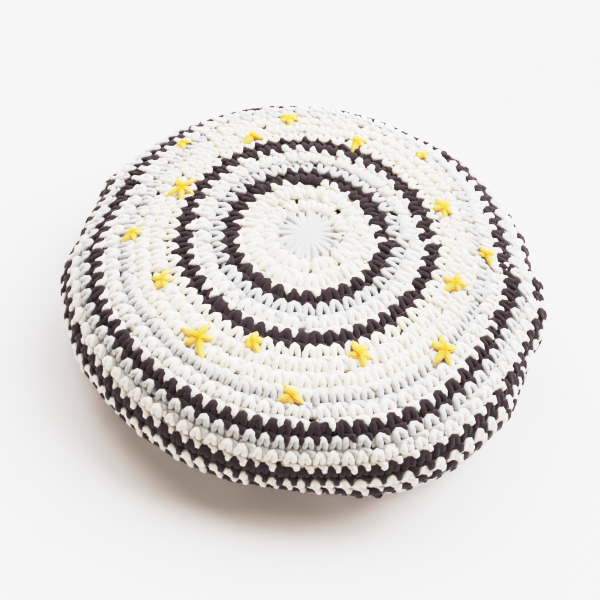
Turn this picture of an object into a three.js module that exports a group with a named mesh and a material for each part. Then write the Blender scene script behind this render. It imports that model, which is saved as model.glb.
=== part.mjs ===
// Crocheted beret lying crown up. It is worked in rounds from a rosette at the middle of the
// crown: stripes of cream, grey, white and dark cotton run out to the soft fold of the rim, turn
// under it and end at a plain band round the head opening. Small stars are embroidered on the
// cream field. Millimetres and degrees, +Z up, the floor at Z = 0.
import * as THREE from 'three';

// Driving dimensions
const CROWN_HEIGHT = 60; // floor to the face of the rosette
const WALL = 6; // thickness of the crocheted fabric
const RIB = 1; // how far the middle of a round swells above its edges
const SEAM = 0.6; // gap between neighbouring rounds
const SEGMENTS = 48; // flats round every ring
const BAND_RADIUS = 86; // outer face of the head band
const BAND_HEIGHT = 12;
const PETALS = 12; // fat stitches of the rosette
const PETAL_RELIEF = 0.8;
const PETAL_CREST = 0.6; // place of a petal's highest point, as a share of the rosette's radius

const YARNS = {
  cream: { color: 0xf4f1ec, roughness: 0.95 },
  white: { color: 0xf0eeea, roughness: 0.95 },
  grey: { color: 0xdfe2e4, roughness: 0.95 },
  dark: { color: 0x4f4346, roughness: 0.95 },
  yellow: { color: 0xf4c63c, roughness: 0.9 },
};

// A row for each round from the middle outwards: its piece, its width along the fabric, and
// how far its middle slopes: 0 runs level outwards, 90 straight down, 180 level inwards.
const ROUNDS = [
  { piece: 'rosette', yarn: 'grey', width: 18.2, fall: 0 },
  { piece: 'cream_centre', yarn: 'cream', width: 10, fall: 0.5 },
  { piece: 'cream_centre', yarn: 'cream', width: 10, fall: 1 },
  { piece: 'dark_round_1', yarn: 'dark', width: 8.6, fall: 1.5 },
  { piece: 'grey_round_1', yarn: 'grey', width: 8.6, fall: 2 },
  { piece: 'white_round_1', yarn: 'white', width: 8.6, fall: 2 },
  { piece: 'dark_round_2', yarn: 'dark', width: 8.4, fall: 2.5 },
  { piece: 'star_field', yarn: 'cream', width: 8.4, fall: 4 },
  { piece: 'star_field', yarn: 'cream', width: 8.4, fall: 6 },
  { piece: 'star_field', yarn: 'cream', width: 8.4, fall: 8 },
  { piece: 'grey_round_2', yarn: 'grey', width: 8, fall: 11 },
  { piece: 'white_round_2', yarn: 'white', width: 7.8, fall: 15 },
  { piece: 'dark_round_3', yarn: 'dark', width: 8, fall: 24 },
  { piece: 'grey_round_3', yarn: 'grey', width: 7.6, fall: 36.6 },
  { piece: 'white_round_3', yarn: 'white', width: 7.7, fall: 49.9 },
  { piece: 'dark_round_4', yarn: 'dark', width: 8.6, fall: 64.5 },
  { piece: 'white_round_4', yarn: 'white', width: 8.3, fall: 82.2 },
  { piece: 'dark_round_5', yarn: 'dark', width: 9, fall: 105 },
  { piece: 'underside', yarn: 'white', width: 9.2, fall: 136 },
  { piece: 'underside', yarn: 'white', width: 9.2, fall: 171 },
];
const UNDERSIDE_ROUNDS = 3; // further rounds from the fold in to the head band

// The soft rim isn't a true circle: where the fabric rolls under early the rim draws in, and
// where it rolls under late the rim stands out. Each row is one such stretch of the rim.
const ROLL_START = 60; // along the fabric: the crown inside this stays round
const ROLL_FULL = 105;
const ROLL_SHOULDER = 4; // power of the bell curve: higher has a flatter top and steeper sides
const ROLLS = [
  { bearing: 82, spread: 75, early: 14 },
  { bearing: 355, spread: 9, early: -6.5 },
  { bearing: 336, spread: 12, early: -2.5 },
  { bearing: 309, spread: 22, early: -7.5 },
  { bearing: 271, spread: 9, early: 2 },
  { bearing: 244, spread: 22, early: 1 },
  { bearing: 206, spread: 12, early: -0.5 },
  { bearing: 175, spread: 10, early: 5.5 },
  { bearing: 154, spread: 13, early: 2 },
  { bearing: 31, spread: 24, early: -5.5 },
];

// Stretches where the soft fabric is gathered towards the middle, or drawn out from it, on the
// same form. It starts and is full at a distance along the fabric, and what is gathered there is
// given back round the rim.
const GATHER_EASE = 142; // from here to the end of the fold it is given back
const GATHERS = [
  { bearing: 156, spread: 27, depth: 8.5, start: 60, full: 112 },
  { bearing: 34, spread: 20, depth: 3, start: 60, full: 112 },
  { bearing: 8, spread: 15, depth: 6.5, start: 60, full: 112 },
  { bearing: 338, spread: 15, depth: 2.5, start: 60, full: 112 },
  { bearing: 300, spread: 14, depth: -2.5, start: 60, full: 112 },
  { bearing: 208, spread: 7, depth: -2, start: 60, full: 112 },
  { bearing: 169, spread: 9, depth: 5.5, start: 118, full: 134 },
];

// Embroidered stars: distance from the middle along the fabric, bearing, and the tips of their
// arms from the star's own middle, round the hat and outwards
const STAR_ARM_WIDTH = 3.2;
const STAR_THICKNESS = 2.2;
const STAR_SEAT = 0.6; // clearance above the crest of a round
const STARS = [
  { along: 92, bearing: 102, arms: [[-1, -7], [5.5, -2.5], [2.5, 7], [-5, 5.5], [-7, -1.5]] },
  { along: 79, bearing: 119, arms: [[-5.5, -3.5], [7, -3], [4.5, 3.5], [-2.5, 5.5]] },
  { along: 78, bearing: 73, arms: [[-0.5, -7.5], [-5.5, -1.5], [-3.5, 5.5], [3, 6]] },
  { along: 108, bearing: 142, arms: [[-5, -4], [4, -3.5], [3, 3.5], [-3.5, 3]] },
  { along: 97.75, bearing: 49.75, arms: [[0, -4.5], [4, -0.5], [0.5, 5.5], [-4, 1]] },
  { along: 80.25, bearing: 162, arms: [[1.5, -9.5], [8, -3.5], [7.5, 8.5], [-6, 8], [-10, -5.5]] },
  { along: 84.25, bearing: 22.75, arms: [[1.5, -7.5], [9, -2.5], [6, 5], [-4.5, 6], [-7.5, -1]] },
  { along: 97.75, bearing: 186.25, arms: [[0, -6], [4.5, -1.5], [5.5, 4.5], [-2.5, 4], [-5, -1]] },
  { along: 107, bearing: 2, arms: [[-7, 1.5], [-1, -4.5], [5.5, -3.5], [4, 4.5]] },
  { along: 84, bearing: 209, arms: [[-6.5, -5], [1, -5], [5.5, -0.5], [3.5, 4.5], [-3.5, 4]] },
  { along: 87.25, bearing: 346, arms: [[2.5, -8], [8, 0.5], [2.5, 6.5], [-4, 3.5], [-8.5, -5.5]] },
  { along: 89, bearing: 236, arms: [[-2.5, -10.5], [7, -6], [9.5, 8], [-3, 8], [-10, 1.5]] },
  { along: 77, bearing: 254, arms: [[-1.5, -7], [5.5, -4], [5, 5], [-2.5, 5], [-5, -1]] },
  { along: 101, bearing: 321, arms: [[-2, -7], [6.5, -6], [7, 5], [-3.5, 9], [-9.5, 1.5]] },
  { along: 80, bearing: 295, arms: [[-1.5, -8], [6, -4], [6, 3.5], [0.5, 8.5], [-5, -0.5]] },
  { along: 101, bearing: 271, arms: [[-4.5, -5], [3, -4], [6, 3], [-0.5, 5.5], [-6, 3]] },
];

const radians = THREE.MathUtils.degToRad;

// Where each round starts and ends along the fabric, and the slope at its middle
const EDGES = [0];
for (const round of ROUNDS) {
  EDGES.push(EDGES.at(-1) + round.width);
}
const MIDDLES = ROUNDS.map((round, i) => EDGES[i] + round.width / 2);
const FOLD_END = EDGES.at(-1);
const ROUND_UNDER = ROUNDS.at(-1).width;
const FABRIC_END = FOLD_END + UNDERSIDE_ROUNDS * ROUND_UNDER;

// Slope of the fabric at a distance along it, changing evenly from one round to the next
function fallAt(along) {
  const next = MIDDLES.findIndex((middle) => middle > along);
  if (next === 0) {
    return ROUNDS[0].fall;
  }
  if (next < 0) {
    return ROUNDS.at(-1).fall;
  }
  const share = (along - MIDDLES[next - 1]) / (MIDDLES[next] - MIDDLES[next - 1]);
  return THREE.MathUtils.lerp(ROUNDS[next - 1].fall, ROUNDS[next].fall, share);
}

// The even cross-section of the hat, walked from the middle in small steps: radius and height
const STEP = 0.5;
const SECTION = [new THREE.Vector2(0, CROWN_HEIGHT)];
for (let along = STEP / 2; along < FABRIC_END; along += STEP) {
  const fall = radians(fallAt(along));
  const forward = new THREE.Vector2(Math.cos(fall), -Math.sin(fall)).multiplyScalar(STEP);
  SECTION.push(SECTION.at(-1).clone().add(forward));
}

function sectionAt(along) {
  const place = along / STEP;
  const low = Math.min(Math.floor(place), SECTION.length - 2);
  return SECTION[low].clone().lerp(SECTION[low + 1], place - low);
}

// How much one stretch of the rim counts at a bearing: 1 in its middle
function bell(stretch, bearing) {
  const apart = THREE.MathUtils.euclideanModulo(bearing - stretch.bearing + 180, 360) - 180;
  return Math.exp(-((apart / stretch.spread) ** ROLL_SHOULDER));
}

// How early the fabric rolls under at a bearing, in millimetres of fabric
function rollAt(bearing) {
  return ROLLS.reduce((early, roll) => early + roll.early * bell(roll, bearing), 0);
}

// How far the fabric is gathered towards the middle at a place
function gatherAt(along, bearing) {
  const { smoothstep } = THREE.MathUtils;
  const given = smoothstep(along, GATHER_EASE, FOLD_END);
  return GATHERS.reduce((sum, gather) => {
    const share = smoothstep(along, gather.start, gather.full) - given;
    return sum + gather.depth * share * bell(gather, bearing);
  }, 0);
}

// A point of the rolled fabric, with the direction out of its face
function fabricPoint(along, bearing) {
  const held = along - gatherAt(along, bearing);
  const early = rollAt(bearing) * THREE.MathUtils.smoothstep(held, ROLL_START, ROLL_FULL);
  const flat = sectionAt(held + early);
  const fall = radians(fallAt(held + early));
  const turn = radians(bearing);
  const reach = flat.x - early;
  return {
    place: new THREE.Vector3(reach * Math.cos(turn), reach * Math.sin(turn), flat.y),
    out: new THREE.Vector3(
      Math.sin(fall) * Math.cos(turn),
      Math.sin(fall) * Math.sin(turn),
      Math.cos(fall),
    ),
  };
}

// The middle of the rim's outline, where the head opening and the origin are
function middleOfRim() {
  const rim = new THREE.Box3();
  for (let i = 0; i < SEGMENTS; i += 1) {
    for (let along = ROLL_FULL; along < FOLD_END; along += STEP) {
      rim.expandByPoint(fabricPoint(along, (i * 360) / SEGMENTS).place);
    }
  }
  const middle = rim.getCenter(new THREE.Vector3());
  return middle.setZ(0);
}
const MIDDLE = middleOfRim();
const UNDER_HEIGHT = sectionAt(FOLD_END).y;

// A point of the hat at a distance along the fabric, a bearing and a height above its face.
// Past the fold the underside runs straight in to the round head band.
function layOver(along, bearing, lift) {
  const { place, out } = fabricPoint(Math.min(along, FOLD_END), bearing);
  if (along > FOLD_END) {
    const share = (along - FOLD_END) / (FABRIC_END - FOLD_END);
    const turn = radians(bearing);
    const reach = BAND_RADIUS + SEAM;
    const inner = new THREE.Vector3(reach * Math.cos(turn), reach * Math.sin(turn), UNDER_HEIGHT);
    place.lerp(inner.add(MIDDLE), share);
    out.lerp(new THREE.Vector3(0, 0, -1), share).normalize();
  }
  return place.addScaledVector(out, lift);
}

// Lays a flat geometry, given as along, bearing and lift by the reader, over the hat
function drape(geometry, reader) {
  const points = geometry.getAttribute('position');
  const flat = new THREE.Vector3();
  for (let i = 0; i < points.count; i += 1) {
    flat.fromBufferAttribute(points, i);
    const { along, bearing, lift } = reader(flat);
    points.setXYZ(i, ...layOver(along, bearing, lift).toArray());
  }
  geometry.computeVertexNormals();
  return geometry;
}

// A ring of fabric turned flat round the Y axis: its radius is the distance along the fabric
const readRing = (flat) => ({
  along: Math.hypot(flat.x, flat.z),
  bearing: THREE.MathUtils.radToDeg(Math.atan2(-flat.z, flat.x)),
  lift: flat.y,
});

// Closed outline of one or more neighbouring rounds: swelling outside, even inside
function roundsOutline(edges) {
  const ends = edges.length - 1;
  const inset = (i) => edges[i] + (i === 0 ? SEAM / 2 : 0) - (i === ends ? SEAM / 2 : 0);
  const outline = edges.map((edge, i) => new THREE.Vector2(inset(i), -WALL));
  for (let i = ends; i > 0; i -= 1) {
    outline.push(new THREE.Vector2(inset(i), 0));
    outline.push(new THREE.Vector2((edges[i] + edges[i - 1]) / 2, RIB));
  }
  outline.push(new THREE.Vector2(inset(0), 0));
  outline.push(outline[0].clone());
  return outline;
}

// Splits the last strip of a turned ring the other way, so that the two faces of a seam are cut
// along the same diagonals and the gap between them stays even where the rim is bent
function alignSeam(ring, outline) {
  const strips = outline.length - 1;
  const index = ring.getIndex();
  for (let i = 0; i < SEGMENTS; i += 1) {
    const first = 6 * (i * strips + strips - 1);
    const a = index.getX(first);
    const b = index.getX(first + 1);
    const d = index.getX(first + 2);
    const c = index.getX(first + 3);
    [a, b, c, a, c, d].forEach((corner, k) => index.setX(first + k, corner));
  }
  return ring;
}

function ringGeometry(edges) {
  const outline = roundsOutline(edges);
  const ring = new THREE.LatheGeometry(outline, SEGMENTS);
  return drape(alignSeam(ring, outline), readRing);
}

// The rosette: a closed disc whose face swells into fat radial stitches
function rosetteGeometry(edge) {
  const rim = edge - SEAM / 2;
  const outline = [
    new THREE.Vector2(0, -WALL),
    new THREE.Vector2(rim, -WALL),
    new THREE.Vector2(rim, 0),
    new THREE.Vector2(rim * PETAL_CREST, RIB),
    new THREE.Vector2(0, 0),
  ];
  const disc = new THREE.LatheGeometry(outline, SEGMENTS);
  return drape(disc, (flat) => {
    const ring = readRing(flat);
    const swell = PETAL_RELIEF * Math.cos(radians(ring.bearing * PETALS));
    return { ...ring, lift: ring.lift > RIB / 2 ? ring.lift + swell : ring.lift };
  });
}

// Outline of a star's arms on the flat: two corners at each tip and one in each notch. With the
// face up, X runs against the bearing.
function starCorners(star) {
  const half = STAR_ARM_WIDTH / 2;
  const tips = star.arms.map(([across, out]) => new THREE.Vector2(-across, out));
  tips.sort((a, b) => a.angle() - b.angle());
  const middle = new THREE.Vector2();
  const corners = [];
  tips.forEach((tip, i) => {
    const turn = tip.angle();
    const next = tips[i + 1]?.angle() ?? tips[0].angle() + 2 * Math.PI;
    const notch = half / Math.sin((next - turn) / 2);
    corners.push(new THREE.Vector2(tip.length(), -half).rotateAround(middle, turn));
    corners.push(new THREE.Vector2(tip.length(), half).rotateAround(middle, turn));
    corners.push(new THREE.Vector2(notch, 0).rotateAround(middle, (turn + next) / 2));
  });
  return corners;
}

// A star: straight arms of yarn from one middle, lying on the crests of the rounds
function starGeometry(star) {
  const outline = new THREE.Shape(starCorners(star));
  const slab = new THREE.ExtrudeGeometry(outline, { depth: STAR_THICKNESS, bevelEnabled: false });
  return drape(slab, (flat) => ({
    along: star.along + flat.y,
    bearing: star.bearing - THREE.MathUtils.radToDeg(flat.x / star.along),
    lift: RIB + STAR_SEAT + flat.z,
  }));
}

// The band round the head opening, which stands on the floor
function bandGeometry() {
  const outline = [
    new THREE.Vector2(BAND_RADIUS - WALL, 0),
    new THREE.Vector2(BAND_RADIUS, 0),
    new THREE.Vector2(BAND_RADIUS, BAND_HEIGHT),
    new THREE.Vector2(BAND_RADIUS - WALL, BAND_HEIGHT),
    new THREE.Vector2(BAND_RADIUS - WALL, 0),
  ];
  return new THREE.LatheGeometry(outline, SEGMENTS).rotateX(Math.PI / 2);
}

function addPiece(group, name, geometry, yarn) {
  const material = new THREE.MeshStandardMaterial({ ...YARNS[yarn], metalness: 0 });
  const piece = new THREE.Mesh(geometry, material);
  piece.name = name;
  group.add(piece);
  return piece;
}

const beret = new THREE.Group();
beret.position.copy(MIDDLE).negate();

// Neighbouring rounds of one piece are one solid
const spans = new Map();
ROUNDS.forEach((round, i) => {
  const span = spans.get(round.piece) ?? { yarn: round.yarn, edges: [EDGES[i]] };
  span.edges.push(EDGES[i + 1]);
  spans.set(round.piece, span);
});
for (let i = 1; i <= UNDERSIDE_ROUNDS; i += 1) {
  spans.get('underside').edges.push(FOLD_END + i * ROUND_UNDER);
}
for (const [name, span] of spans) {
  const isRosette = span.edges[0] === 0;
  const geometry = isRosette ? rosetteGeometry(span.edges[1]) : ringGeometry(span.edges);
  addPiece(beret, name, geometry, span.yarn);
}
addPiece(beret, 'head_band', bandGeometry(), 'white').position.copy(MIDDLE);
STARS.forEach((star, i) => {
  addPiece(beret, `star_${String(i + 1).padStart(2, '0')}`, starGeometry(star), 'yellow');
});

export default beret;
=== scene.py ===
"""Crocheted beret: every stitch is a loop of yarn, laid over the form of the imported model."""
import math
from collections import namedtuple

import bpy
import numpy as np
from bpy.props import FloatProperty, FloatVectorProperty, IntProperty, PointerProperty
from bpy.types import Operator, Panel, PropertyGroup
from mathutils import Matrix, Vector


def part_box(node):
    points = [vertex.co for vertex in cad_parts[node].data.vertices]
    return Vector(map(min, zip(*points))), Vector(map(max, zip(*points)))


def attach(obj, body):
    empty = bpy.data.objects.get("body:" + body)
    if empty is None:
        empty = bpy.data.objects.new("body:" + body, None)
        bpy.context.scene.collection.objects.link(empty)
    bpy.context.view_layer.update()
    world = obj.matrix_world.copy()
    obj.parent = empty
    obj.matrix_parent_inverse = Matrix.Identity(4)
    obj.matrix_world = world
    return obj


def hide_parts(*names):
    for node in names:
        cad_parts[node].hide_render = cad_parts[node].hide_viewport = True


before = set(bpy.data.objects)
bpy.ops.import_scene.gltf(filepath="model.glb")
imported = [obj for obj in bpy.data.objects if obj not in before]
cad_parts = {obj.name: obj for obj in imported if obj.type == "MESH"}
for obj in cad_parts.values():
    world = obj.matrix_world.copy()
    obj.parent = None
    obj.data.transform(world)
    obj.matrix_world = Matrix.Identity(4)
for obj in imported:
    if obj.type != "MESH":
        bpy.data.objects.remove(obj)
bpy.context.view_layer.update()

bl_info = {
    "name": "Crocheted Beret",
    "version": (1, 0, 0),
    "blender": (4, 5, 0),
    "location": "View3D > Sidebar > Beret",
    "description": "Dresses the packed beret with crocheted rounds and embroidered stars",
    "category": "Object",
}

MM = 0.001

# The rounds from the middle of the crown outwards: the piece that a round belongs to, its yarn, its
# width along the fabric in millimetres, the slope of its middle in degrees (90 is straight down) and
# its stitches. The rounds without a slope run straight in to the head band.
Round = namedtuple("Round", "piece yarn width fall stitches")
ROUNDS = (
    Round("rosette", "grey", 18.2, 0.0, 12),
    Round("cream_centre", "cream", 10.0, 0.5, 19),
    Round("cream_centre", "cream", 10.0, 1.0, 27),
    Round("dark_round_1", "dark", 8.6, 1.5, 34),
    Round("grey_round_1", "grey", 8.6, 2.0, 41),
    Round("white_round_1", "white", 8.6, 2.0, 47),
    Round("dark_round_2", "dark", 8.4, 2.5, 54),
    Round("star_field", "cream", 8.4, 4.0, 60),
    Round("star_field", "cream", 8.4, 6.0, 66),
    Round("star_field", "cream", 8.4, 8.0, 74),
    Round("grey_round_2", "grey", 8.0, 11.0, 78),
    Round("white_round_2", "white", 7.8, 15.0, 83),
    Round("dark_round_3", "dark", 8.0, 24.0, 89),
    Round("grey_round_3", "grey", 7.6, 36.6, 92),
    Round("white_round_3", "white", 7.7, 49.9, 98),
    Round("dark_round_4", "dark", 8.6, 64.5, 104),
    Round("white_round_4", "white", 8.3, 82.2, 106),
    Round("dark_round_5", "dark", 9.0, 105.0, 106),
    Round("underside", "white", 9.2, 136.0, 104),
    Round("underside", "white", 9.2, 171.0, 98),
    Round("underside", "white", 9.2, None, 90),
    Round("underside", "white", 9.2, None, 82),
    Round("underside", "white", 9.2, None, 74),
)
# The band's stitches and rounds, the seam between it and the fabric, and the step along the slopes
BAND_STITCHES = 68
BAND_ROUNDS = 2
SEAM = 0.6 * MM
WALK_STEP = 0.5 * MM

# Stretches of the rim that roll under early, which draws the rim in, or late, which lets it out:
# bearing and spread in degrees, and the fabric that rolls under in millimetres
Roll = namedtuple("Roll", "bearing spread early")
ROLLS = (
    Roll(82, 75, 14.0),
    Roll(355, 9, -6.5),
    Roll(336, 12, -2.5),
    Roll(309, 22, -7.5),
    Roll(271, 9, 2.0),
    Roll(244, 22, 1.0),
    Roll(206, 12, -0.5),
    Roll(175, 10, 5.5),
    Roll(154, 13, 2.0),
    Roll(31, 24, -5.5),
)
# Where along the fabric the rolls start and are full, and how square their shoulders are
ROLL_START = 60 * MM
ROLL_FULL = 105 * MM
ROLL_SHOULDER = 4

# Stretches where the soft fabric is gathered towards the middle, or drawn out from it, on the same
# form: bearing and spread in degrees, how far in millimetres, and where along the fabric it starts and
# is full. It is given back round the rim.
Gather = namedtuple("Gather", "bearing spread depth start full")
GATHERS = (
    Gather(156, 27, 8.5, 60, 112),
    Gather(34, 20, 3.0, 60, 112),
    Gather(8, 15, 6.5, 60, 112),
    Gather(338, 15, 2.5, 60, 112),
    Gather(300, 14, -2.5, 60, 112),
    Gather(208, 7, -2.0, 60, 112),
    Gather(169, 9, 5.5, 118, 134),
)
GATHER_EASE = 142 * MM

# Where a round ends beside its own start the row steps outwards. The join wanders from round to round.
JOIN_BEARING = math.radians(13.5)
JOIN_WANDER = math.radians(-1.33)
JOIN_RISE = 5.5 * MM
JOIN_DIP = 1.2 * MM
JOIN_LENGTH = 9 * MM

# The one wide eyelet beside the rosette parts two stitches of the first cream round: its bearing, how far
# it pushes them and over what length. The petals are counted from the same bearing.
EYELET_BEARING = math.radians(139)
EYELET_PUSH = 1.4 * MM
EYELET_LENGTH = 6 * MM
EYELET_ROUND = 1

# Embroidered stars: distance along the fabric, bearing, and the tips of the arms from the star's own
# middle, round the hat and outwards in millimetres
Star = namedtuple("Star", "along bearing arms")
STARS = (
    Star(92, 102, ((-1, -7), (5.5, -2.5), (2.5, 7), (-5, 5.5), (-7, -1.5))),
    Star(79, 119, ((-5.5, -3.5), (7, -3), (4.5, 3.5), (-2.5, 5.5))),
    Star(78, 73, ((-0.5, -7.5), (-5.5, -1.5), (-3.5, 5.5), (3, 6))),
    Star(108, 142, ((-5, -4), (4, -3.5), (3, 3.5), (-3.5, 3))),
    Star(97.75, 49.75, ((0, -4.5), (4, -0.5), (0.5, 5.5), (-4, 1))),
    Star(80.25, 162, ((1.5, -9.5), (8, -3.5), (7.5, 8.5), (-6, 8), (-10, -5.5))),
    Star(84.25, 22.75, ((1.5, -7.5), (9, -2.5), (6, 5), (-4.5, 6), (-7.5, -1))),
    Star(97.75, 186.25, ((0, -6), (4.5, -1.5), (5.5, 4.5), (-2.5, 4), (-5, -1))),
    Star(107, 2, ((-7, 1.5), (-1, -4.5), (5.5, -3.5), (4, 4.5))),
    Star(84, 209, ((-6.5, -5), (1, -5), (5.5, -0.5), (3.5, 4.5), (-3.5, 4))),
    Star(87.25, 346, ((2.5, -8), (8, 0.5), (2.5, 6.5), (-4, 3.5), (-8.5, -5.5))),
    Star(89, 236, ((-2.5, -10.5), (7, -6), (9.5, 8), (-3, 8), (-10, 1.5))),
    Star(77, 254, ((-1.5, -7), (5.5, -4), (5, 5), (-2.5, 5), (-5, -1))),
    Star(101, 321, ((-2, -7), (6.5, -6), (7, 5), (-3.5, 9), (-9.5, 1.5))),
    Star(80, 295, ((-1.5, -8), (6, -4), (6, 3.5), (0.5, 8.5), (-5, -0.5))),
    Star(101, 271, ((-4.5, -5), (3, -4), (6, 3), (-0.5, 5.5), (-6, 3))),
)

# A strand of a stitch is the row of bends that it runs through. A bend is across the stitch in
# stitch widths, out along the fabric in round widths, up from the face in millimetres, and has its
# own share of the yarn's thickness.
Bend = namedtuple("Bend", "across out lift thickness")
BED_REACH = 0.68


def arch(*leg):
    """Both legs of an arch, from the bends of the first one, foot to top."""
    return leg + tuple(bend._replace(across=-bend.across) for bend in reversed(leg[:-1]))


def bed(out, lift, thickness):
    """A strand behind a stitch that runs straight across, into the stitches beside it."""
    return (Bend(-BED_REACH, out, lift, thickness), Bend(BED_REACH, out, lift, thickness))


CROWN_ARCH = arch(
    Bend(-0.29, 0.97, -1.2, 0.66),
    Bend(-0.23, 0.56, 0.3, 0.84),
    Bend(-0.15, 0.25, 0.15, 0.92),
    Bend(0.00, 0.14, 0.0, 0.86),
)
# On the flat of the crown, in the first pale round past a dark one, the arches stand open
OPEN_ARCH = arch(
    Bend(-0.31, 0.97, -1.2, 0.62),
    Bend(-0.27, 0.60, 0.3, 0.74),
    Bend(-0.17, 0.27, 0.15, 0.90),
    Bend(0.00, 0.14, 0.0, 0.92),
)
# A loop ends in a tooth that reaches over the next round
CROWN_LOOP = (
    Bend(-0.58, 0.97, -1.5, 0.70),
    Bend(0.12, 1.02, -0.4, 0.80),
    Bend(0.33, 1.14, 0.1, 0.94),
    Bend(0.345, 1.36, 0.0, 0.58),
    Bend(0.35, 1.56, -1.2, 0.16),
)
# Pale yarn's teeth stand out over a dark round
POINTED_LOOP = (
    Bend(-0.58, 0.97, -1.5, 0.70),
    Bend(0.12, 1.02, -0.2, 0.82),
    Bend(0.33, 1.14, 0.5, 0.98),
    Bend(0.345, 1.36, 0.45, 0.76),
    Bend(0.35, 1.58, -0.9, 0.28),
)
# Round the rim the arches are narrower and fuller, and the teeth are blunter
RIM_ARCH = arch(
    Bend(-0.28, 0.97, -1.2, 0.70),
    Bend(-0.22, 0.60, 0.3, 0.90),
    Bend(-0.14, 0.30, 0.1, 0.96),
    Bend(0.00, 0.17, 0.0, 0.88),
)
RIM_LOOP = (
    Bend(-0.58, 0.97, -1.5, 0.70),
    Bend(0.12, 1.02, -0.3, 0.80),
    Bend(0.33, 1.14, 0.4, 1.00),
    Bend(0.345, 1.37, 0.4, 0.80),
    Bend(0.35, 1.57, -0.9, 0.36),
)
# Lower still, and over the first dark round past the stars, the teeth are longest
LOW_LOOP = RIM_LOOP[:3] + (
    Bend(0.345, 1.46, 0.4, 0.86),
    Bend(0.35, 1.74, -0.7, 0.40),
)
# The fabric behind a stitch. It lies further in behind an open arch, and a second strand closes up dark
# yarn and the second cream round.
BED = bed(0.42, -1.75, 1.25)
HIGH_BED = bed(0.35, -1.75, 1.10)
LOW_BED = bed(0.82, -2.2, 1.00)
CLOSED_ROUND = 2

# Slopes in degrees: the crown is flat below the first, the rim's stitches start at the second and its
# longest teeth at the third
FLAT_FALL = 10.0
RIM_FALL = 40.0
LOW_FALL = 60.0
# Stitches of the crown sit a little inside their round, in round widths; this fades out towards the rim
CROWN_DRAW = 0.15
CROWN_DRAW_FALL = 24.0
# Where the tooth of a stitch is, in stitch and round widths, and how far the stitch turns to aim it
TOOTH_ACROSS = 0.335
TOOTH_OUT = 1.25
TOOTH_TURN = math.radians(10)
# Stitches drift back from round to round, in stitch widths, and are evened out in a few passes. Two that
# share one stitch lean together. Yarn has its own thickness in a stitch of the even size.
STITCH_DRIFT = -0.17
SPACING_PASSES = 12
PAIR_LEAN = 0.1
EVEN_STITCH = 8.2 * MM
# The band's lowest yarn is pressed flat just above the floor
FLOOR_GAP = 0.3 * MM
# Seeds of the random draws: the step from round to round, and the first ones of the band and the stars
ROUND_SEEDS = 10
BAND_SEED = 500
STAR_SEED = 700

# The rosette is one cushion of fat petals, each of two legs: steps across a petal and rings out to the
# edge, how far the edge reaches and where it starts to roll down in radii of the rosette, the heights of
# the cushion, and how unlike each other its petals are
PETAL_STEPS = 16
PETAL_RINGS = 34
PETAL_REACH = 1.16
PETAL_ROLL = 0.90
PETAL_SCALLOP = 0.05
PETAL_TOP = 1.2 * MM
PETAL_DOME = 0.3 * MM
PETAL_DROP = 2.8 * MM
PETAL_DEEPEST = -2.0 * MM
PETAL_FLOOR = -2.8 * MM
PETAL_UNEVEN = 0.6
PETAL_SHIFT = 0.10
PETAL_BEND = 0.12
PETAL_TURNS = 1.5
PETAL_TONES = (0.0, 0.3)
ROSETTE_SEED = 5
# The grooves between petals and between legs, and where in radii they start and are full; and the small
# pits near the petals' ends
Groove = namedtuple("Groove", "depth width start full")
PETAL_GROOVE = Groove(1.50 * MM, 0.95 * MM, 0.15, 0.95)
LEG_GROOVE = Groove(0.90 * MM, 0.70 * MM, 0.25, 0.85)
PIT_DEPTH = 2.4 * MM
PIT_ACROSS = 0.60 * MM
PIT_ALONG = 0.90 * MM
PIT_OUT = 0.80
PIT_SHIFT = 0.06

# Shares of a star's arm in which its plies turn once, and in which its colour fades
STAR_TWIST = 0.5
STAR_FADE = 0.7
# The strands of one arm of a star, side by side: across in millimetres, out in shares of the reach
STAR_ARM = (
    (
        Bend(-0.9, 0.00, 1.8, 0.9),
        Bend(-1.3, 0.35, 1.8, 1.0),
        Bend(-1.0, 0.75, 1.6, 1.0),
        Bend(-0.7, 1.02, -0.2, 0.6),
    ),
    (
        Bend(-0.3, -0.02, 2.2, 0.9),
        Bend(-0.45, 0.35, 2.2, 1.0),
        Bend(-0.35, 0.78, 1.9, 1.0),
        Bend(-0.3, 1.12, -0.1, 0.6),
    ),
    (
        Bend(0.35, -0.05, 2.2, 0.9),
        Bend(0.45, 0.35, 2.15, 1.0),
        Bend(0.35, 0.74, 1.85, 1.0),
        Bend(0.25, 1.06, -0.1, 0.6),
    ),
    (
        Bend(0.9, 0.00, 1.8, 0.9),
        Bend(1.3, 0.35, 1.8, 1.0),
        Bend(1.0, 0.72, 1.6, 1.0),
        Bend(0.7, 0.98, -0.2, 0.6),
    ),
)

# Pale yarn is spun fuller than dark yarn
FULLNESS = {"cream": 1.16, "white": 1.14, "grey": 1.12, "dark": 1.08}
PLIES = 3
# Finish of the yarns and of the floor, by the shader's own sockets
COTTON = {
    "Roughness": 0.92,
    "Specular IOR Level": 0.25,
    "Sheen Weight": 0.25,
    "Sheen Roughness": 0.5,
    "Subsurface Radius": (1.0, 1.0, 1.0),
    "Subsurface Scale": 1.5 * MM,
}
EMBROIDERY = {"Roughness": 0.92, "Specular IOR Level": 0.1}
PALE_FLOOR = {"Roughness": 0.9, "Specular IOR Level": 0.1}
# Fibres and slow changes of tone along the yarn, and how far fibres and plies stand out
FIBRES = {"Scale": 1400.0, "Detail": 3.0, "Roughness": 0.6}
MOTTLE = {"Scale": 60.0, "Detail": 2.0}
RELIEF = {"Strength": 0.25, "Distance": 0.25 * MM}
FIBRE_HEIGHT = 0.6
# How far the tone changes between stitches and with the mottle, and how much darker the painted shade makes
# the grooves between the plies
STITCH_TONES = (0.96, 1.02)
MOTTLE_SPAN = (0.3, 0.7)
MOTTLE_TONES = (0.97, 1.02)
PLY_GROOVE_SHADE = (0.94, 1.0)
# A share, from none to all
WHOLE = (0.0, 1.0)

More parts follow.
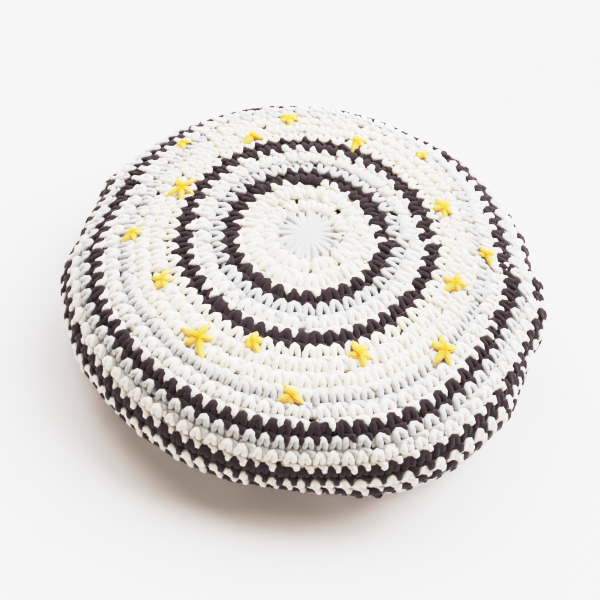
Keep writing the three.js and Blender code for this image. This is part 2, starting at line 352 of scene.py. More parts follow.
# How bright light comes out in the picture: shares of full light, before and after. Pale tones stay
# close together, as in a bright studio picture.
TONES = (
    (0.0, 0.0), (0.1, 0.13), (0.2, 0.33), (0.35, 0.67),
    (0.5, 0.82), (0.65, 0.875), (0.8, 0.905), (1.0, 0.945),
)
COMBINED_CURVE = 3


def linear(red, green, blue):
    """A colour seen on screen, 0 to 255, as the light values that Blender works in."""
    shares = (channel / 255 for channel in (red, green, blue))
    return tuple(s / 12.92 if s <= 0.04045 else ((s + 0.055) / 1.055) ** 2.4 for s in shares)


class BeretForm(PropertyGroup):
    """Sizes of the hat"""
    crown_height: FloatProperty(
        name="Crown height",
        description="From the floor to the face of the rosette",
        default=0.060,
        unit="LENGTH",
    )
    band_radius: FloatProperty(
        name="Band radius",
        description="Outer face of the band round the head opening",
        default=0.086,
        unit="LENGTH",
    )
    band_height: FloatProperty(
        name="Band height",
        description="Height of the band that stands on the floor",
        default=0.012,
        unit="LENGTH",
    )


class BeretYarn(PropertyGroup):
    """Size, twist and colours of the yarn"""
    radius: FloatProperty(
        name="Yarn radius",
        description="Half the thickness of the cotton yarn",
        default=0.0021,
        unit="LENGTH",
    )
    flatness: FloatProperty(
        name="Flatness",
        description="Height of a strand as a share of its width",
        default=0.64,
        subtype="FACTOR",
    )
    sides: IntProperty(
        name="Sides",
        description="Flats round a strand",
        default=6,
    )
    twist: FloatProperty(
        name="Twist",
        description="Length of yarn in which its plies turn once",
        default=0.009,
        unit="LENGTH",
    )
    star_radius: FloatProperty(
        name="Star yarn radius",
        description="Half the thickness of the embroidery yarn",
        default=0.001,
        unit="LENGTH",
    )
    star_flatness: FloatProperty(
        name="Star flatness",
        description="Height of a strand of embroidery yarn as a share of its width",
        default=0.42,
        subtype="FACTOR",
    )
    unevenness: FloatProperty(
        name="Unevenness",
        description="How much stitches differ in size",
        default=0.06,
        subtype="FACTOR",
    )
    sway: FloatProperty(
        name="Sway",
        description="How far stitches lean out of line",
        default=math.radians(4),
        subtype="ANGLE",
    )
    wander: FloatProperty(
        name="Wander",
        description="How far stitches stray from their place",
        default=0.00025,
        unit="LENGTH",
    )
    seed: IntProperty(
        name="Seed",
        description="Picks the unevenness of the stitches",
        default=11,
    )
    cream: FloatVectorProperty(
        name="Cream",
        description="Yarn of the centre and of the star field",
        default=linear(252, 246, 233),
        subtype="COLOR",
    )
    white: FloatVectorProperty(
        name="White",
        description="Yarn of the white rounds",
        default=linear(250, 246, 242),
        subtype="COLOR",
    )
    grey: FloatVectorProperty(
        name="Grey",
        description="Yarn of the rosette and of the grey rounds",
        default=linear(213, 213, 214),
        subtype="COLOR",
    )
    dark: FloatVectorProperty(
        name="Dark",
        description="Yarn of the dark rounds",
        default=linear(73, 56, 63),
        subtype="COLOR",
    )
    yellow: FloatVectorProperty(
        name="Yellow",
        description="Yarn of the stars towards the tips of their arms",
        default=linear(255, 217, 138),
        subtype="COLOR",
    )
    heart: FloatVectorProperty(
        name="Heart",
        description="Yarn of the stars at their middles",
        default=linear(255, 162, 5),
        subtype="COLOR",
    )
    softness: FloatProperty(
        name="Softness",
        description="How much light passes through the yarn",
        default=0.4,
        subtype="FACTOR",
    )


class BeretStage(PropertyGroup):
    """Floor, light and camera"""
    floor_size: FloatProperty(
        name="Floor size",
        description="Side of the floor",
        default=6.0,
        unit="LENGTH",
    )
    floor_colour: FloatVectorProperty(
        name="Floor colour",
        description="Pale floor that the hat lies on",
        default=linear(247, 246, 249),
        subtype="COLOR",
    )
    fill_strength: FloatProperty(
        name="Fill strength",
        description="Even light from all round",
        default=0.20,
    )
    fill_colour: FloatVectorProperty(
        name="Fill colour",
        description="Tint of the light from all round",
        default=(1.0, 0.84, 0.64),
        subtype="COLOR",
    )
    key_strength: FloatProperty(
        name="Key strength",
        description="Soft light from the right, as from a wide window",
        default=1.6,
    )
    key_colour: FloatVectorProperty(
        name="Key colour",
        description="Tint of the soft light",
        default=(0.93, 0.95, 1.0),
        subtype="COLOR",
    )
    key_heading: FloatProperty(
        name="Key heading",
        description="Where the soft light stands: 0 is behind the hat, 90 is to the right of it",
        default=math.radians(61),
        subtype="ANGLE",
    )
    key_height: FloatProperty(
        name="Key height",
        description="How high the light from the right stands",
        default=math.radians(34),
        subtype="ANGLE",
    )
    back_strength: FloatProperty(
        name="Back strength",
        description="Soft light from the back right",
        default=1.4,
    )
    back_heading: FloatProperty(
        name="Back heading",
        description="Where the light at the back right stands",
        default=math.radians(28),
        subtype="ANGLE",
    )
    rim_strength: FloatProperty(
        name="Rim strength",
        description="Weaker soft light from the back left",
        default=1.15,
    )
    rim_heading: FloatProperty(
        name="Rim heading",
        description="Where the weaker light stands",
        default=math.radians(-30),
        subtype="ANGLE",
    )
    spread: FloatProperty(
        name="Spread",
        description="How wide the soft lights look from the hat",
        default=math.radians(40),
        subtype="ANGLE",
    )
    front_strength: FloatProperty(
        name="Front strength",
        description="Weak low light from the front left, as from a pale wall",
        default=0.38,
    )
    front_colour: FloatVectorProperty(
        name="Front colour",
        description="Tint of the weak low light",
        default=(1.0, 0.97, 0.95),
        subtype="COLOR",
    )
    front_heading: FloatProperty(
        name="Front heading",
        description="Where the weak low light stands",
        default=math.radians(-145),
        subtype="ANGLE",
    )
    front_height: FloatProperty(
        name="Front height",
        description="How high the weak low light stands above the floor",
        default=math.radians(12),
        subtype="ANGLE",
    )
    light_height: FloatProperty(
        name="Light height",
        description="How high the lights stand above the floor",
        default=math.radians(40),
        subtype="ANGLE",
    )
    lens: FloatProperty(
        name="Lens",
        description="Focal length of the camera in millimetres",
        default=69.0,
    )
    distance: FloatProperty(
        name="Distance",
        description="From the camera to the point that it looks at",
        default=0.6117,
        unit="LENGTH",
    )
    elevation: FloatProperty(
        name="Elevation",
        description="How far the camera looks down",
        default=math.radians(54.95),
        subtype="ANGLE",
    )
    roll: FloatProperty(
        name="Roll",
        description="How far the camera is tipped to one side",
        default=math.radians(6.7),
        subtype="ANGLE",
    )
    aim: FloatVectorProperty(
        name="Aim",
        description="Point in the middle of the picture",
        default=(-0.00244, -0.0383, 0.060),
        subtype="XYZ",
    )


def smooth_step(value, low, high):
    """0 below low, 1 above high, and an even change between them."""
    share = np.clip((value - low) / (high - low), 0.0, 1.0)
    return share * share * (3 - 2 * share)


def bell(stretch, bearing):
    """How much one stretch of the rim counts at a bearing: 1 in its middle."""
    apart = (np.degrees(bearing) - stretch.bearing + 180) % 360 - 180
    return np.exp(-((apart / stretch.spread) ** ROLL_SHOULDER))


class HatFace:
    """The face of the hat, in metres: a place on it is a bearing, a way along the fabric and a lift."""

    def __init__(self, form):
        widths = np.array([row.width for row in ROUNDS]) * MM
        falls = [row.fall for row in ROUNDS if row.fall is not None]
        self.edges = np.concatenate(([0.0], np.cumsum(widths)))
        self.middles = ((self.edges[1:] + self.edges[:-1]) / 2)[:len(falls)]
        self.falls = np.radians(falls)
        self.fold_end = self.edges[len(falls)]
        self.fabric_end = self.edges[-1]
        walk = np.arange(WALK_STEP / 2, self.fabric_end, WALK_STEP)
        fall = self.fall_at(walk)
        self.stations = np.arange(len(walk) + 1) * WALK_STEP
        self.radii = np.concatenate(([0.0], np.cumsum(np.cos(fall) * WALK_STEP)))
        drops = np.concatenate(([0.0], np.cumsum(np.sin(fall) * WALK_STEP)))
        self.heights = form.crown_height - drops
        self.band_radius = form.band_radius
        self.band_height = form.band_height
        low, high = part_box("rosette")
        self.axis = np.array([(low.x + high.x) / 2, (low.y + high.y) / 2, 0.0])

    def fall_at(self, along):
        return np.interp(along, self.middles, self.falls)

    def reach_at(self, along):
        return np.interp(along, self.stations, self.radii)

    def height_at(self, along):
        return np.interp(along, self.stations, self.heights)

    def rolled(self, bearing):
        """How early the fabric rolls under."""
        early = np.zeros_like(bearing)
        for roll in ROLLS:
            early += roll.early * MM * bell(roll, bearing)
        return early

    def gathered(self, along, bearing):
        """How far the fabric is gathered towards the middle."""
        given_back = smooth_step(along, GATHER_EASE, self.fold_end)
        pulled = np.zeros_like(bearing)
        for gather in GATHERS:
            share = smooth_step(along, gather.start * MM, gather.full * MM) - given_back
            pulled += gather.depth * MM * share * bell(gather, bearing)
        return pulled

    def lay_over(self, bearing, along, lift):
        """Places over the crown, round the rolled rim and along the underside."""
        folded = np.clip(along, 0.0, self.fold_end)
        held = folded - self.gathered(folded, bearing)
        early = self.rolled(bearing) * smooth_step(held, ROLL_START, ROLL_FULL)
        fall = self.fall_at(held + early)[:, None]
        up = np.array([0.0, 0.0, 1.0])
        outward = np.stack((np.cos(bearing), np.sin(bearing), np.zeros_like(bearing)), axis=1)
        place = outward * (self.reach_at(held + early) - early)[:, None] + self.axis
        place += up * self.height_at(held + early)[:, None]
        out = outward * np.sin(fall) + up * np.cos(fall)
        under = np.clip((along - self.fold_end) / (self.fabric_end - self.fold_end), 0.0, None)[:, None]
        inner = outward * (self.band_radius + SEAM) + up * self.height_at(self.fold_end)
        place += (inner - place) * under
        out += (-up - out) * np.clip(under, 0.0, 1.0)
        out /= np.linalg.norm(out, axis=1, keepdims=True)
        return place + out * lift[:, None]

    def lay_round_band(self, bearing, along, lift):
        """Places on the band, from its upper edge down; what would pass the floor is pressed flat."""
        reach = self.band_radius + lift
        height = np.maximum(self.band_height - along, FLOOR_GAP)
        return np.stack((reach * np.cos(bearing), reach * np.sin(bearing), height), axis=1)


def even_starts(count):
    return np.arange(count) * (2 * math.pi / count)


def next_starts(starts, count, phase):
    """Bearings at which the next round's stitches start, each worked into a stitch of the round before.

    Also gives, for each stitch of the round before, the start that its tooth points at, and how far the
    stitches lean to each other where two of them share one stitch.
    """
    ends = np.append(starts[1:], starts[0] + 2 * math.pi)
    extra = count - len(starts)
    if extra < 0:
        return even_starts(count) + starts[0], None, np.zeros(count)
    doubled = {int((k + phase) * len(starts) / extra) for k in range(extra)}
    grown = []
    firsts = []
    leans = []
    for i, (start, end) in enumerate(zip(starts, ends)):
        firsts.append(len(grown))
        grown.append(start)
        if i in doubled:
            grown.append((start + end) / 2)
            leans += [PAIR_LEAN, -PAIR_LEAN]
        else:
            leans.append(0.0)
    grown = np.array(grown)
    for _ in range(SPACING_PASSES):
        before = np.roll(grown, 1)
        before[0] -= 2 * math.pi
        after = np.roll(grown, -1)
        after[-1] += 2 * math.pi
        grown = grown / 2 + (before + after) / 4
    grown += STITCH_DRIFT * 2 * math.pi / count
    teeth = np.append(grown[firsts[1:]], grown[0] + 2 * math.pi)
    return grown, teeth, np.array(leans)


# A round's stitches: bearings where they start and where their teeth point, and how far they lean
Course = namedtuple("Course", "starts teeth leans")


def crown_courses():
    """Where the stitches of all rounds start, round by round, and where their teeth point."""
    # The golden share keeps the increases of one round clear of those of the next
    golden = (math.sqrt(5) - 1) / 2
    courses = []
    starts = even_starts(ROUNDS[0].stitches) + EYELET_BEARING
    leans = np.zeros(len(starts))
    for i, row in enumerate(ROUNDS[1:]):
        grown, teeth, grown_leans = next_starts(starts, row.stitches, (i * golden) % 1)
        courses.append(Course(starts, teeth, leans))
        starts = grown
        leans = grown_leans
    courses.append(Course(starts, None, leans))
    return courses


def wrapped(angle):
    """The same angle between minus and plus half a turn."""
    return (angle + math.pi) % (2 * math.pi) - math.pi


# Geometry Nodes


def new_tree(name, inputs):
    """An empty tree of nodes with a geometry input, the named inputs and a geometry output."""
    tree = bpy.data.node_groups.new(name, "GeometryNodeTree")
    tree.is_modifier = True
    tree.interface.new_socket("Geometry", in_out="INPUT", socket_type="NodeSocketGeometry")
    for label, kind in inputs:
        tree.interface.new_socket(label, in_out="INPUT", socket_type=kind)
    tree.interface.new_socket("Geometry", in_out="OUTPUT", socket_type="NodeSocketGeometry")
    return tree


def add_node(tree, kind, links=None, **settings):
    """A node with its settings. An input, by name or number, gets a node, a socket or a fixed value."""
    node = tree.nodes.new(kind)
    for key, value in settings.items():
        setattr(node, key, value)
    for key, source in (links or {}).items():
        if isinstance(source, bpy.types.Node):
            source = source.outputs[0]
        if isinstance(source, bpy.types.NodeSocket):
            tree.links.new(source, node.inputs[key])
        else:
            node.inputs[key].default_value = source
    return node


def calculate(tree, operation, *values):
    """A number that is worked out from others."""
    return add_node(tree, "ShaderNodeMath", dict(enumerate(values)), operation=operation)


def scaled(tree, vector, factor):
    return add_node(tree, "ShaderNodeVectorMath", {0: vector, "Scale": factor}, operation="SCALE")


def named_field(tree, name, data_type):
    node = add_node(tree, "GeometryNodeInputNamedAttribute", {"Name": name}, data_type=data_type)
    return node.outputs["Attribute"]


def keep_measure(tree, curve, name):
    """A curve that keeps a measure of its spline, so that the mesh made of it has it too."""
    spline = add_node(tree, "GeometryNodeSplineParameter")
    kept = add_node(tree, "GeometryNodeCaptureAttribute", {0: curve})
    kept.capture_items.new("FLOAT", name)
    tree.links.new(spline.outputs[name], kept.inputs[name])
    return kept


def random_vector(tree, seed, draw):
    """A random vector for each stitch, -1 to 1 along each axis; draw tells the draws of one tree apart."""
    return add_node(tree, "FunctionNodeRandomValue", {
        "Min": (-1.0, -1.0, -1.0),
        "Max": (1.0, 1.0, 1.0),
        "Seed": calculate(tree, "ADD", seed, draw),
    }, data_type="FLOAT_VECTOR")


def random_share(tree, seed, draw):
    """A random number for each stitch, 0 to 1."""
    own_seed = calculate(tree, "ADD", seed, draw)
    return add_node(tree, "FunctionNodeRandomValue", {"Seed": own_seed}, data_type="FLOAT").outputs[1]


YARN_TREE = "Yarn stitches"


def yarn_tree():
    """Lays strands of yarn at every stitch's place: the strands are an object's open edges."""
    tree = new_tree(YARN_TREE, (
        ("Strands", "NodeSocketObject"),
        ("Yarn radius", "NodeSocketFloat"),
        ("Flatness", "NodeSocketFloat"),
        ("Sides", "NodeSocketInt"),
        ("Twist", "NodeSocketFloat"),
        ("Unevenness", "NodeSocketFloat"),
        ("Sway", "NodeSocketFloat"),
        ("Wander", "NodeSocketFloat"),
        ("Seed", "NodeSocketInt"),
        ("Yarn", "NodeSocketMaterial"),
    ))
    given = tree.nodes.new("NodeGroupInput").outputs
    seed = given["Seed"]

    # One stitch: its strands become curves, and the curves become tubes
    strands = add_node(tree, "GeometryNodeObjectInfo", {"Object": given["Strands"]})
    curves = add_node(tree, "GeometryNodeMeshToCurve", {"Mesh": strands.outputs["Geometry"]})
    level = add_node(tree, "GeometryNodeSetCurveNormal", {"Curve": curves}, mode="Z_UP")
    path = keep_measure(tree, level, "Length")
    ring = add_node(tree, "GeometryNodeCurvePrimitiveCircle", {"Resolution": given["Sides"], "Radius": 1.0})
    oval_size = add_node(tree, "ShaderNodeCombineXYZ", {"X": 1.0, "Y": given["Flatness"], "Z": 1.0})
    oval = add_node(tree, "GeometryNodeTransform", {"Geometry": ring, "Scale": oval_size})
    section = keep_measure(tree, oval, "Factor")
    thickness = named_field(tree, "thickness", "FLOAT")
    tubes = add_node(tree, "GeometryNodeCurveToMesh", {
        "Curve": path,
        "Profile Curve": section,
        "Scale": calculate(tree, "MULTIPLY", thickness, given["Yarn radius"]),
        "Fill Caps": True,
    })
    turns = calculate(tree, "DIVIDE", path.outputs["Length"], given["Twist"])
    wound = add_node(tree, "ShaderNodeCombineXYZ", {"X": turns, "Y": section.outputs["Factor"]})
    mapped = add_node(tree, "GeometryNodeStoreNamedAttribute", {
        "Geometry": tubes,
        "Name": "UVMap",
        "Value": wound,
    }, data_type="FLOAT2", domain="CORNER")
    stitch = add_node(tree, "GeometryNodeSetShadeSmooth", {"Geometry": mapped})

    # All stitches of the round, each a little different
    places = add_node(tree, "GeometryNodeSetPosition", {
        "Geometry": given["Geometry"],
        "Offset": scaled(tree, random_vector(tree, seed, 1), given["Wander"]),
    })
    turn = add_node(tree, "ShaderNodeVectorMath", {
        0: scaled(tree, random_vector(tree, seed, 2), given["Sway"]),
        1: named_field(tree, "turn", "FLOAT_VECTOR"),
    }, operation="ADD")
    stretch = named_field(tree, "stretch", "FLOAT_VECTOR")
    swollen = add_node(tree, "ShaderNodeVectorMath", {
        0: scaled(tree, random_vector(tree, seed, 3), given["Unevenness"]),
        1: stretch,
        2: stretch,
    }, operation="MULTIPLY_ADD")
    laid = add_node(tree, "GeometryNodeInstanceOnPoints", {
        "Points": places,
        "Instance": stitch,
        "Rotation": turn,
        "Scale": swollen,
    })
    toned = add_node(tree, "GeometryNodeStoreNamedAttribute", {
        "Geometry": laid,
        "Name": "tone",
        "Value": random_share(tree, seed, 4),
    }, data_type="FLOAT", domain="INSTANCE")
    plain = add_node(tree, "GeometryNodeRealizeInstances", {"Geometry": toned})
    dyed = add_node(tree, "GeometryNodeSetMaterial", {"Geometry": plain, "Material": given["Yarn"]})
    add_node(tree, "NodeGroupOutput", {"Geometry": dyed})
    return tree


def set_inputs(modifier, values):
    """Sets a tree's inputs by their sockets' identifiers."""
    sockets = modifier.node_group.interface.items_tree
    identifiers = {s.name: s.identifier for s in sockets if s.in_out == "INPUT"}
    for name, value in values.items():
        modifier[identifiers[name]] = value


def add_object(name, data):
    made = bpy.data.objects.new(name, data)
    bpy.context.scene.collection.objects.link(made)
    return made


def store(mesh, name, kind, values):
    """A named value for each point of a mesh."""
    field = "vector" if kind == "FLOAT_VECTOR" else "value"
    attribute = mesh.attributes.new(name, kind, "POINT")
    attribute.data.foreach_set(field, np.asarray(values, dtype=float).ravel())


def strands_object(name, strands, width, depth):
    """An object whose open edges are a stitch's strands, at the size of its stitch."""
    points, edges, thickness = [], [], []
    for bends in strands:
        first = len(points)
        points += [(bend.across * width, bend.out * depth, bend.lift * MM) for bend in bends]
        edges += [(i, i + 1) for i in range(first, len(points) - 1)]
        thickness += [bend.thickness for bend in bends]
    mesh = bpy.data.meshes.new(name)
    mesh.from_pydata(points, edges, [])
    store(mesh, "thickness", "FLOAT", thickness)
    return add_object(name, mesh)


# Where stitches lie on the flat, how each is stretched and how it is turned
Places = namedtuple("Places", "points stretch turn")
# The yarn that stitches are made of
Strand = namedtuple("Strand", "yarn radius flatness twist")


def crochet(name, places, strands, strand, seed):
    """The yarn of the stitches at these places, still on the flat, as a plain mesh."""
    yarn = bpy.context.scene.beret_yarn
    mesh = bpy.data.meshes.new(name)
    mesh.from_pydata(places.points.tolist(), [], [])
    store(mesh, "stretch", "FLOAT_VECTOR", places.stretch)
    store(mesh, "turn", "FLOAT_VECTOR", places.turn)
    holder = add_object(name, mesh)
    modifier = holder.modifiers.new(YARN_TREE, "NODES")
    modifier.node_group = bpy.data.node_groups.get(YARN_TREE) or yarn_tree()
    set_inputs(modifier, {
        "Strands": strands,
        "Yarn radius": strand.radius,
        "Flatness": strand.flatness,
        "Sides": yarn.sides,
        "Twist": strand.twist,
        "Unevenness": yarn.unevenness,
        "Sway": yarn.sway,
        "Wander": yarn.wander,
        "Seed": yarn.seed + seed,
        "Yarn": yarn_material(strand.yarn),
    })
    depsgraph = bpy.context.evaluated_depsgraph_get()
    made = bpy.data.meshes.new_from_object(
        holder.evaluated_get(depsgraph), preserve_all_data_layers=True, depsgraph=depsgraph)
    bpy.data.objects.remove(holder)
    bpy.data.objects.remove(strands)
    return made


def drape(mesh, radius, lay):
    """Bends a flat mesh round the hat: x runs round it at a radius, y along the fabric, z up from it.

    The fabric runs outwards, so this turns faces inside out, and they are turned back.
    """
    flat = np.empty(len(mesh.vertices) * 3)
    mesh.vertices.foreach_get("co", flat)
    flat = flat.reshape(-1, 3)
    placed = lay(flat[:, 0] / radius, flat[:, 1], flat[:, 2])
    mesh.vertices.foreach_set("co", placed.ravel())
    mesh.flip_normals()
    mesh.update()


def join_meshes(name, meshes):
    """One object from several plain meshes of one yarn."""
    parts = [add_object(name, mesh) for mesh in meshes]
    if len(parts) > 1:
        with bpy.context.temp_override(active_object=parts[0], selected_editable_objects=parts):
            bpy.ops.object.join()
    return parts[0]


def on_rim(row):
    return row.fall is None or row.fall >= RIM_FALL


def stitch_strands(index):
    """The strands of one stitch of a round: its arch, its loop and the fabric behind it."""
    row = ROUNDS[index]
    following = ROUNDS[index + 1].yarn if index + 1 < len(ROUNDS) else row.yarn
    closed = row.yarn == "dark" or index == CLOSED_ROUND
    if on_rim(row):
        low = row.fall is not None and row.fall >= LOW_FALL
        strands = (RIM_ARCH, LOW_LOOP if low else RIM_LOOP, BED)
    elif ROUNDS[index - 1].yarn == "dark" and row.fall < FLAT_FALL:
        strands = (OPEN_ARCH, CROWN_LOOP, HIGH_BED)
    elif following == "dark" and not closed:
        strands = (CROWN_ARCH, POINTED_LOOP if row.fall < FLAT_FALL else LOW_LOOP, BED)
    else:
        strands = (CROWN_ARCH, CROWN_LOOP, BED)
    return strands + (LOW_BED,) if closed else strands


def stitch_places(face, index, course, radius):
    """Where the stitches of a round lie on the flat, how wide they are and how they turn to their teeth."""
    row = ROUNDS[index]
    depth = row.width * MM
    ends = np.append(course.starts[1:], course.starts[0] + 2 * math.pi)
    spans = ends - course.starts
    middles = (course.starts + ends) / 2 + course.leans * spans
    points = np.zeros((row.stitches, 3))
    points[:, 0] = middles * radius
    points[:, 1] = face.edges[index]
    if not on_rim(row):
        points[:, 1] -= CROWN_DRAW * depth * max(0.0, 1 - row.fall / CROWN_DRAW_FALL)
    past = wrapped(middles - JOIN_BEARING - JOIN_WANDER * index) * radius
    points[:, 1] += np.where(past < 0, JOIN_RISE, -JOIN_DIP) * np.exp(-np.abs(past) / JOIN_LENGTH)
    if index == EYELET_ROUND:
        aside = wrapped(middles - EYELET_BEARING) * radius
        points[:, 0] += np.sign(aside) * EYELET_PUSH * np.exp(-np.abs(aside) / EYELET_LENGTH)
    stretch = np.ones((row.stitches, 3))
    stretch[:, 0] = spans / (2 * math.pi / row.stitches) * (1 + np.abs(course.leans))
    turn = np.zeros((row.stitches, 3))
    if course.teeth is not None:
        aside = (course.teeth - middles - TOOTH_ACROSS * spans) * radius
        turn[:, 2] = np.clip(-aside / (TOOTH_OUT * depth), -TOOTH_TURN, TOOTH_TURN)
    return Places(points, stretch, turn)


def round_mesh(face, index, course):
    """All stitches of one round of the hat."""
    row = ROUNDS[index]
    depth = row.width * MM
    edge = face.edges[index]
    radius = face.reach_at(edge + depth / 2)
    if row.fall is None:
        radius = face.band_radius + (face.fabric_end - edge)
    width = 2 * math.pi / row.stitches * radius
    path = strands_object("stitch_strands", stitch_strands(index), width, depth)
    yarn = bpy.context.scene.beret_yarn
    thickness = yarn.radius * FULLNESS[row.yarn] * math.sqrt(width * depth) / EVEN_STITCH
    strand = Strand(row.yarn, thickness, yarn.flatness, yarn.twist)
    places = stitch_places(face, index, course, radius)
    mesh = crochet(row.piece, places, path, strand, index * ROUND_SEEDS)
    drape(mesh, radius, face.lay_over)
    return mesh


def grooves(groove, places, turn, share, size):
    """How deep radial grooves are, each at its own place round the cushion, and how far aside they lie."""
    aside = wrapped(turn[None, :, None] - places) * share * size
    deep = groove.depth * smooth_step(share, groove.start, groove.full)
    return np.exp(-(aside / groove.width) ** 2) * deep, aside


def petal_lift(chance, turn, share):
    """How far the petals stand up, by the turn round the rosette and the share of its radius."""
    row = ROUNDS[0]
    size = row.width * MM
    pitch = 2 * math.pi / row.stitches
    shifts = chance.uniform(-1, 1, row.stitches) * PETAL_SHIFT
    borders = EYELET_BEARING + pitch * (np.arange(row.stitches) + shifts)
    bent = PETAL_BEND * chance.uniform(-1, 1, (2, row.stitches, 1, 1)) * share
    middles = borders[:, None, None] + pitch / 2 + bent[0]
    borders = borders[:, None, None] + bent[1]
    uneven = 1 + PETAL_UNEVEN * chance.uniform(-1, 1, (3, row.stitches, 1, 1))
    pit_out = PIT_OUT + PIT_SHIFT * chance.uniform(-1, 1, (row.stitches, 1, 1))
    between, _ = grooves(PETAL_GROOVE, borders, turn, share, size)
    parted, aside = grooves(LEG_GROOVE, middles, turn, share, size)
    pits = PIT_DEPTH * np.exp(-(aside / PIT_ACROSS) ** 2 - ((share - pit_out) * size / PIT_ALONG) ** 2)
    scallops = np.cos((turn[:, None] - EYELET_BEARING) * row.stitches)
    rolled = smooth_step(share * (1 + PETAL_SCALLOP * scallops), PETAL_ROLL, PETAL_REACH)
    lift = PETAL_TOP - PETAL_DOME * share ** 2 - PETAL_DROP * rolled
    lift = lift - (between * uneven[0]).sum(0) - (parted * uneven[1]).sum(0) - (pits * uneven[2]).sum(0)
    lift = np.maximum(lift, PETAL_DEEPEST)
    lift[:, -1] = PETAL_FLOOR
    return lift


def rosette_mesh(face):
    """The fat soft petals at the middle of the crown, as one closed cushion."""
    row = ROUNDS[0]
    size = row.width * MM
    count = row.stitches * PETAL_STEPS
    chance = np.random.default_rng(ROSETTE_SEED)
    turn = np.arange(count) * (2 * math.pi / count)
    share = PETAL_REACH * (np.arange(PETAL_RINGS) + 1.0) / PETAL_RINGS
    flat = np.empty((count, PETAL_RINGS, 3))
    flat[..., 0] = turn[:, None] * size
    flat[..., 1] = share * size
    flat[..., 2] = petal_lift(chance, turn, share)
    poles = [(0.0, 0.0, PETAL_TOP - PETAL_GROOVE.depth / 4), (0.0, 0.0, PETAL_FLOOR)]
    top = count * PETAL_RINGS
    faces, wound = [], []
    for j in range(count):
        near = j * PETAL_RINGS
        far = (j + 1) % count * PETAL_RINGS
        here = j / PETAL_STEPS
        there = (j + 1) / PETAL_STEPS
        faces.append((top, far, near))
        wound += [(0.0, here), (share[0], there), (share[0], here)]
        for i in range(PETAL_RINGS - 1):
            faces.append((near + i, far + i, far + i + 1, near + i + 1))
            wound += [(share[i], here), (share[i], there), (share[i + 1], there), (share[i + 1], here)]
        faces.append((top + 1, near + PETAL_RINGS - 1, far + PETAL_RINGS - 1))
        wound += [(0.0, here), (share[-1], here), (share[-1], there)]
    mesh = bpy.data.meshes.new(row.piece)
    mesh.from_pydata(flat.reshape(-1, 3).tolist() + poles, [], faces)
    layer = mesh.uv_layers.new(name="UVMap")
    layer.data.foreach_set("uv", (np.array(wound) * (PETAL_TURNS, 1.0)).ravel())
    tones = np.repeat(chance.uniform(*PETAL_TONES, row.stitches), PETAL_STEPS * PETAL_RINGS)
    pole_tones = [sum(PETAL_TONES) / 2] * len(poles)
    store(mesh, "tone", "FLOAT", np.append(tones, pole_tones))
    mesh.shade_smooth()
    mesh.materials.append(yarn_material(row.yarn))
    drape(mesh, size, face.lay_over)
    return mesh


def finish_piece(piece, node):
    """Makes the piece move with the root body and hides the model's part that it stands in for."""
    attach(piece, "root")
    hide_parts(node)


# Materials


def new_material(name, finish):
    """A material with fixed values on the sockets of its shader; gives the shader too."""
    material = bpy.data.materials.new(name)
    material.use_nodes = True
    shader = material.node_tree.nodes["Principled BSDF"]
    for socket, value in finish.items():
        shader.inputs[socket].default_value = value
    return material, shader


def in_range(tree, value, span, wanted):
    """A number carried over from one span to another."""
    ends = ("From Min", "From Max", "To Min", "To Max")
    return add_node(tree, "ShaderNodeMapRange", {"Value": value, **dict(zip(ends, span + wanted))})


def blended(tree, share, first, second):
    """A colour between two colours, whose sockets come last on a mix node."""
    return add_node(tree, "ShaderNodeMix", {0: share, 6: first, 7: second}, data_type="RGBA").outputs[2]


def yarn_material(yarn_name):
    """Matte yarn: its plies wind round the strand, with painted shade in the grooves between them, and
    every stitch has its own tone.
    """
    name = yarn_name + " yarn"
    if name in bpy.data.materials:
        return bpy.data.materials[name]
    yarn = bpy.context.scene.beret_yarn
    colour = (*getattr(yarn, yarn_name), 1.0)
    on_stars = yarn_name == "yellow"
    finish = EMBROIDERY if on_stars else {**COTTON, "Subsurface Weight": yarn.softness}
    material, shader = new_material(name, finish)
    tree = material.node_tree

    # Plies: ridges that wind round the strand
    wound = add_node(tree, "ShaderNodeUVMap", uv_map="UVMap")
    turns = add_node(tree, "ShaderNodeSeparateXYZ", {0: wound}).outputs
    phase = calculate(tree, "ADD", turns["X"], turns["Y"])
    ridge = calculate(tree, "COSINE", calculate(tree, "MULTIPLY", phase, PLIES * 2 * math.pi))
    height = in_range(tree, ridge, (-1.0, 1.0), WHOLE)

    # Fibres and slow changes of tone
    where = add_node(tree, "ShaderNodeTexCoord").outputs["Object"]
    fibres = add_node(tree, "ShaderNodeTexNoise", {"Vector": where, **FIBRES})
    mottle = add_node(tree, "ShaderNodeTexNoise", {"Vector": where, **MOTTLE})
    relief = calculate(tree, "MULTIPLY_ADD", fibres, FIBRE_HEIGHT, height)
    bump = add_node(tree, "ShaderNodeBump", {"Height": relief, **RELIEF})
    tree.links.new(bump.outputs["Normal"], shader.inputs["Normal"])

    tone = add_node(tree, "ShaderNodeAttribute", attribute_name="tone").outputs["Fac"]
    stitch = in_range(tree, tone, WHOLE, STITCH_TONES)
    patch = in_range(tree, mottle, MOTTLE_SPAN, MOTTLE_TONES)
    # Painted shade: the yarn's colour is darkened in the grooves between the plies
    groove = in_range(tree, height, WHOLE, PLY_GROOVE_SHADE)
    value = calculate(tree, "MULTIPLY", calculate(tree, "MULTIPLY", stitch, patch), groove)
    dyed = add_node(tree, "ShaderNodeHueSaturation", {"Value": value, "Color": colour})
    if on_stars:
        # Deep at the start of a strand, which is the middle of a star
        fade = in_range(tree, turns["X"], (0.0, STAR_FADE / STAR_TWIST), WHOLE)
        tree.links.new(blended(tree, fade, (*yarn.heart, 1.0), colour), dyed.inputs["Color"])
    tree.links.new(dyed.outputs["Color"], shader.inputs["Base Color"])
    return material


def floor_material():
    colour = (*bpy.context.scene.beret_stage.floor_colour, 1.0)
    material, _ = new_material("pale floor", {**PALE_FLOOR, "Base Color": colour})
    return material


